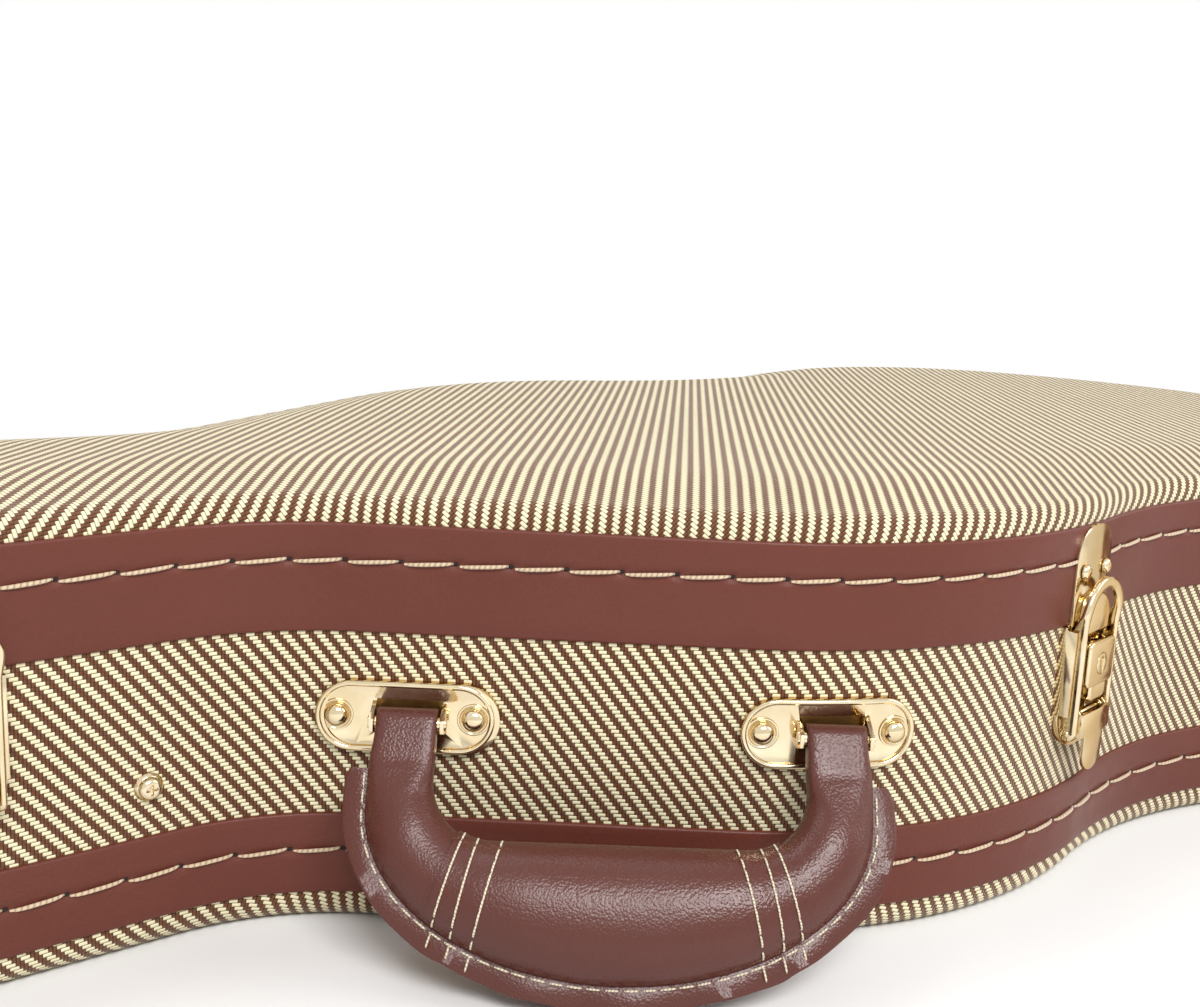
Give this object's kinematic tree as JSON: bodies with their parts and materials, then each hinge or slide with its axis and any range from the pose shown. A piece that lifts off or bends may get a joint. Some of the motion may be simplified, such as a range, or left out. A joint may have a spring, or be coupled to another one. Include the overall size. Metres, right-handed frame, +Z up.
{
  "type": "electric guitar case",
  "caption": "Shaped hard case for an electric guitar with a hinged tweed lid, draw latches, a stitched handle and a plush interior.",
  "frame": {"origin": "on the underside, on the centreline, 525 mm from the neck end and 525 mm from the tail", "axes": "+X along the centreline towards the tail, +Y towards the hinges, +Z up out of the lid"},
  "size_m": [1.0524, 0.4062, 0.1395],
  "materials": {
    "tweed_cloth": "woven twill, lacquered",
    "binding_leatherette": "fine grain, stitched",
    "plywood": "bare laminated board",
    "handle_leather": "pebbled, stitched",
    "plush_lining": "short pile plush",
    "pale_brass": "polished plating"
  },
  "bodies": {
    "base": {"accessory_box": "plush_lining", "accessory_hinge_pin": "pale_brass", "base_binding": "binding_leatherette", "base_bottom_cover": "tweed_cloth", "base_panel": "plywood", "base_side_cover": "tweed_cloth", "base_wall": "plywood", "body_cradle": "plush_lining", "handle_pins": "pale_brass", "handle_plate_left": "pale_brass", "handle_plate_right": "pale_brass", "handle_rivets": "pale_brass", "head_pad": "plush_lining", "head_rest": "plush_lining", "hinge_leaf_base_lower": "pale_brass", "hinge_leaf_base_upper": "pale_brass", "hinge_pin_lower": "pale_brass", "hinge_pin_upper": "pale_brass", "hinge_rivets_base": "pale_brass", "latch_housing_bout": "pale_brass", "latch_housing_head": "pale_brass", "latch_housing_neck": "pale_brass", "latch_housing_waist": "pale_brass", "latch_pan_bout": "pale_brass", "latch_pan_head": "pale_brass", "latch_pan_neck": "pale_brass", "latch_pan_waist": "pale_brass", "latch_pins": "pale_brass", "latch_rivets": "pale_brass", "neck_rest": "plush_lining", "rim_valance": "plush_lining", "side_screw": "pale_brass", "side_screw_washer": "pale_brass"},
    "lid": {"hinge_leaf_lid_lower": "pale_brass", "hinge_leaf_lid_upper": "pale_brass", "hinge_rivets_lid": "pale_brass", "keeper_rivets": "pale_brass", "latch_keeper_bout": "pale_brass", "latch_keeper_head": "pale_brass", "latch_keeper_neck": "pale_brass", "latch_keeper_waist": "pale_brass", "lid_binding": "binding_leatherette", "lid_body_pad": "plush_lining", "lid_cover": "tweed_cloth", "lid_neck_lining": "plush_lining", "lid_panel": "plywood", "lid_wall": "plywood"},
    "accessory_lid": {"accessory_lid": "plush_lining", "accessory_tab": "handle_leather"},
    "handle": {"handle_grip": "handle_leather", "handle_strap": "handle_leather"},
    "lock_plug": {"lock_plug": "pale_brass"},
    "lever_head": {"latch_lever_head": "pale_brass"},
    "lever_neck": {"latch_lever_neck": "pale_brass"},
    "lever_waist": {"latch_lever_waist": "pale_brass"},
    "lever_bout": {"latch_lever_bout": "pale_brass"},
    "bail_head": {"latch_bail_head": "pale_brass"},
    "bail_neck": {"latch_bail_neck": "pale_brass"},
    "bail_waist": {"latch_bail_waist": "pale_brass"},
    "bail_bout": {"latch_bail_bout": "pale_brass"}
  },
  "joints": [
    {"name": "lid_hinge", "type": "hinge", "parent": "base", "child": "lid", "pos_m": [0.11229, 0.17561, 0.0935], "axis": [-0.9958, -0.0912, 0], "range_deg": [0, 100]},
    {"name": "accessory_lid_hinge", "type": "hinge", "parent": "base", "child": "accessory_lid", "pos_m": [-0.1718, 0, 0.051], "axis": [0, -1, 0], "range_deg": [0, 90]},
    {"name": "handle_swing", "type": "hinge", "parent": "base", "child": "handle", "pos_m": [0.00168, -0.12536, 0.068], "axis": [-0.8257, 0.5641, 0], "range_deg": [-18, 125]},
    {"name": "lock_turn", "type": "hinge", "parent": "base", "child": "lock_plug", "pos_m": [0.15954, -0.17666, 0.0805], "axis": [0.1883, -0.9821, 0], "range_deg": [0, 90]},
    {"name": "lever_head_swing", "type": "hinge", "parent": "base", "child": "lever_head", "pos_m": [-0.4548, -0.07912, 0.0635], "axis": [-0.9992, -0.041, 0], "range_deg": [0, 100]},
    {"name": "bail_head_swing", "type": "hinge", "parent": "lever_head", "child": "bail_head", "pos_m": [-0.45482, -0.07852, 0.0575], "axis": [-0.9992, -0.041, 0], "range_deg": [-110, 0]},
    {"name": "lever_neck_swing", "type": "hinge", "parent": "base", "child": "lever_neck", "pos_m": [-0.1698, -0.06743, 0.0635], "axis": [-0.9992, -0.041, 0], "range_deg": [0, 100]},
    {"name": "bail_neck_swing", "type": "hinge", "parent": "lever_neck", "child": "bail_neck", "pos_m": [-0.16982, -0.06683, 0.0575], "axis": [-0.9992, -0.041, 0], "range_deg": [-110, 0]},
    {"name": "lever_waist_swing", "type": "hinge", "parent": "base", "child": "lever_waist", "pos_m": [0.15894, -0.17351, 0.0635], "axis": [-0.9821, -0.1883, 0], "range_deg": [0, 100]},
    {"name": "bail_waist_swing", "type": "hinge", "parent": "lever_waist", "child": "bail_waist", "pos_m": [0.15883, -0.17292, 0.0575], "axis": [-0.9821, -0.1883, 0], "range_deg": [-110, 0]},
    {"name": "lever_bout_swing", "type": "hinge", "parent": "base", "child": "lever_bout", "pos_m": [0.39585, -0.19697, 0.0635], "axis": [-0.9856, -0.1691, 0], "range_deg": [0, 100]},
    {"name": "bail_bout_swing", "type": "hinge", "parent": "lever_bout", "child": "bail_bout", "pos_m": [0.39574, -0.19638, 0.0575], "axis": [-0.9856, -0.1691, 0], "range_deg": [-110, 0]}
  ],
  "couplings": [
    {"joint": "bail_head_swing", "follows": "lever_head_swing", "ratio": -1.1},
    {"joint": "bail_neck_swing", "follows": "lever_neck_swing", "ratio": -1.1},
    {"joint": "bail_waist_swing", "follows": "lever_waist_swing", "ratio": -1.1},
    {"joint": "bail_bout_swing", "follows": "lever_bout_swing", "ratio": -1.1}
  ]
}
